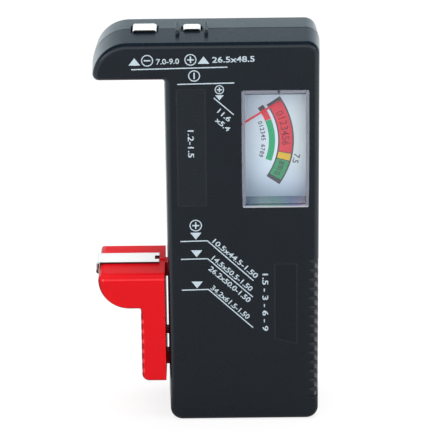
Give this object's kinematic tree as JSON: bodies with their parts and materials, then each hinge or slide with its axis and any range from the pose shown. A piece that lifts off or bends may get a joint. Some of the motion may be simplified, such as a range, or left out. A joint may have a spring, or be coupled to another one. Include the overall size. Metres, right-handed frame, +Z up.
{
  "type": "battery tester",
  "caption": "Hand-held analogue battery tester: black two-part housing with an overhanging arm, dial window, nine-volt contacts on top and a red sliding clamp for round cells.",
  "frame": {"origin": "middle of the flat bottom face of the housing body, on which the tester stands", "axes": "+Z up along the housing, +X to the right seen from the front, +Y from the front face to the back"},
  "size_m": [0.0618, 0.025, 0.1115],
  "materials": {
    "case_black": "satin black moulding",
    "slider_red": "glossy red moulding",
    "window_clear": "clear moulding",
    "dial_white": "white print on aluminium",
    "pointer_red": "red paint",
    "contact_plate": "bright nickel plate",
    "rail_plate": "tinned spring steel",
    "base_black": "matt black moulding",
    "yoke_iron": "turned soft iron",
    "magnet_grey": "ground magnet",
    "spacer_brass": "sawn brass",
    "bridge_alloy": "pressed alloy",
    "jewel_brass": "turned brass",
    "spring_bronze": "rolled bronze strip",
    "coil_copper": "enamelled copper winding",
    "former_alloy": "thin alloy sheet",
    "pivot_steel": "polished steel",
    "screw_steel": "zinc-plated steel",
    "board_brown": "paper laminate",
    "resistor_tan": "lacquered resistor",
    "lead_black": "insulated wire",
    "lead_red": "insulated wire"
  },
  "bodies": {
    "casing": {"front_shell": "case_black", "rear_shell": "case_black", "case_screws": "screw_steel", "meter_window": "window_clear", "dial_plate": "dial_white", "meter_base": "base_black", "yoke_ring": "yoke_iron", "core_magnet": "magnet_grey", "core_spacers": "spacer_brass", "front_bridge": "bridge_alloy", "front_jewel_screw": "jewel_brass", "rear_jewel_screw": "jewel_brass", "front_hairspring": "spring_bronze", "rear_hairspring": "spring_bronze", "meter_terminals": "jewel_brass", "resistor_board": "board_brown", "nine_volt_resistor": "resistor_tan", "cell_load_resistor": "resistor_tan", "mini_cell_resistor": "resistor_tan", "nine_volt_negative_contact": "contact_plate", "nine_volt_positive_contact": "contact_plate", "cell_negative_contact": "contact_plate", "main_contact_rail": "rail_plate", "mini_cell_rail": "rail_plate", "negative_link": "lead_black", "negative_lead": "lead_black", "nine_volt_positive_lead": "lead_red", "main_rail_lead": "lead_red", "mini_rail_lead": "lead_red"},
    "cell_slider": {"slider": "slider_red", "slider_contact_strip": "contact_plate"},
    "meter_movement": {"moving_coil": "coil_copper", "coil_former": "former_alloy", "pivot_pins": "pivot_steel", "pointer": "pointer_red", "balance_weights": "jewel_brass"}
  },
  "joints": [
    {"name": "slider_slide", "type": "slide", "parent": "casing", "child": "cell_slider", "axis": [0, 0, 1], "range_m": [-0.0072, 0.0542]},
    {"name": "pointer_swing", "type": "hinge", "parent": "casing", "child": "meter_movement", "pos_m": [-0.0084, 0, 0.0806], "axis": [0, 1, 0], "range_deg": [0, 66], "stiffness_Nm_per_rad": 0.00002}
  ]
}
